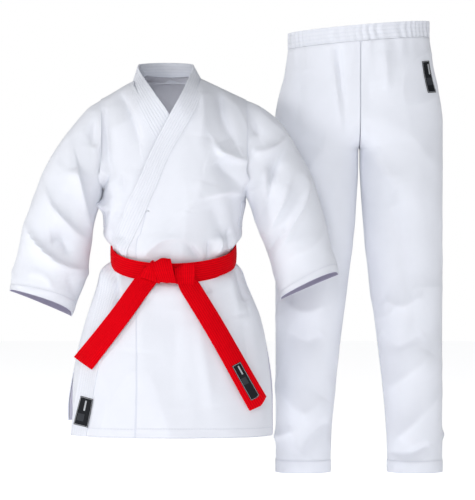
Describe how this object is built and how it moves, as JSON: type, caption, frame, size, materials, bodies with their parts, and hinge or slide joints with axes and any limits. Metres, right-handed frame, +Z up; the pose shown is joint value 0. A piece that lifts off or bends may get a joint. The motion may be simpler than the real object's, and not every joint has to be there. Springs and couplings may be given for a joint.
{
  "type": "martial arts uniform",
  "caption": "White cross-over cotton jacket closed by a red belt tied in a flat knot, with white elastic-waist trousers.",
  "frame": {"origin": "between the shoulders of the jacket, where a hanger or a wearer carries it", "axes": "+Z up along the wearer, -Y is the wearer's front, +X the wearer's left"},
  "size_m": [0.9678, 0.4087, 1.0196],
  "materials": {
    "white_cotton": "matte heavy canvas weave",
    "white_lining": "matte plain weave, inside turnings",
    "red_cotton": "matte cotton with parallel stitching",
    "black_label": "satin woven label, plain bars, no lettering",
    "elastic": "ribbed elastic webbing"
  },
  "bodies": {
    "jacket": {"front_right": "white_cotton", "front_left": "white_cotton", "lapel_right": "white_cotton", "lapel_left": "white_cotton", "collar_back": "white_cotton", "back_right": "white_cotton", "back_left": "white_cotton", "yoke_lining": "white_lining", "underarm_gusset_right": "white_cotton", "underarm_gusset_left": "white_cotton", "inner_tie_right": "white_cotton", "inner_tie_left": "white_cotton", "belt_inner_turn": "red_cotton", "belt_outer_turn": "red_cotton", "knot_core": "red_cotton", "knot_left": "red_cotton", "knot_right": "red_cotton"},
    "sleeve_right": {"sleeve_right_front": "white_cotton", "sleeve_right_back": "white_cotton", "cuff_right": "white_cotton"},
    "sleeve_left": {"sleeve_left_front": "white_cotton", "sleeve_left_back": "white_cotton", "cuff_left": "white_cotton"},
    "skirt_front": {"skirt_front_right": "white_cotton", "lapel_right_lower": "white_cotton", "skirt_front_left": "white_cotton", "front_extension_left": "white_cotton", "lapel_left_lower": "white_cotton", "vent_facing_front_right": "white_lining", "vent_facing_front_left": "white_lining", "hem_front_right": "white_lining", "hem_front_left": "white_lining", "jacket_label": "black_label"},
    "skirt_back": {"skirt_back_right": "white_cotton", "skirt_back_left": "white_cotton", "vent_facing_back_right": "white_lining", "vent_facing_back_left": "white_lining", "hem_back": "white_lining"},
    "tail_right": {"belt_tail_right": "red_cotton"},
    "tail_left": {"belt_tail_left": "red_cotton", "belt_label": "black_label"},
    "trousers": {"waistband": "white_cotton", "waist_elastic": "elastic", "seat_front_right": "white_cotton", "seat_front_left": "white_cotton", "seat_back_right": "white_cotton", "seat_back_left": "white_cotton", "crotch_gusset": "white_cotton", "trouser_label": "black_label"},
    "leg_right": {"leg_front_right": "white_cotton", "leg_back_right": "white_cotton", "leg_hem_right": "white_cotton"},
    "leg_left": {"leg_front_left": "white_cotton", "leg_back_left": "white_cotton", "leg_hem_left": "white_cotton"}
  },
  "joints": [
    {"name": "sleeve_right_raise", "type": "hinge", "parent": "jacket", "child": "sleeve_right", "pos_m": [-0.1605, 0, -0.044], "axis": [0, 1, 0], "range_deg": [0, 75]},
    {"name": "sleeve_left_raise", "type": "hinge", "parent": "jacket", "child": "sleeve_left", "pos_m": [0.1605, 0, -0.044], "axis": [0, -1, 0], "range_deg": [0, 75]},
    {"name": "skirt_front_lift", "type": "hinge", "parent": "jacket", "child": "skirt_front", "pos_m": [0, -0.137, -0.4445], "axis": [-1, 0, 0], "range_deg": [0, 20]},
    {"name": "skirt_back_lift", "type": "hinge", "parent": "jacket", "child": "skirt_back", "pos_m": [0, 0.1035, -0.4005], "axis": [1, 0, 0], "range_deg": [0, 20]},
    {"name": "tail_right_lift", "type": "hinge", "parent": "skirt_front", "child": "tail_right", "pos_m": [-0.056, -0.1325, -0.4545], "axis": [-0.8, 0, 0.6], "range_deg": [0, 90]},
    {"name": "tail_left_lift", "type": "hinge", "parent": "skirt_front", "child": "tail_left", "pos_m": [0.034, -0.1365, -0.4555], "axis": [-0.866, 0, -0.5], "range_deg": [0, 90]},
    {"name": "trousers_aside", "type": "slide", "parent": "jacket", "child": "trousers", "axis": [1, 0, 0], "range_m": [0, 0.25]},
    {"name": "leg_right_fold", "type": "hinge", "parent": "trousers", "child": "leg_right", "pos_m": [0.416, 0.2612, -0.1602], "axis": [1, 0, 0], "range_deg": [0, 40]},
    {"name": "leg_left_fold", "type": "hinge", "parent": "trousers", "child": "leg_left", "pos_m": [0.416, 0.2612, -0.1602], "axis": [1, 0, 0], "range_deg": [0, 40]}
  ]
}
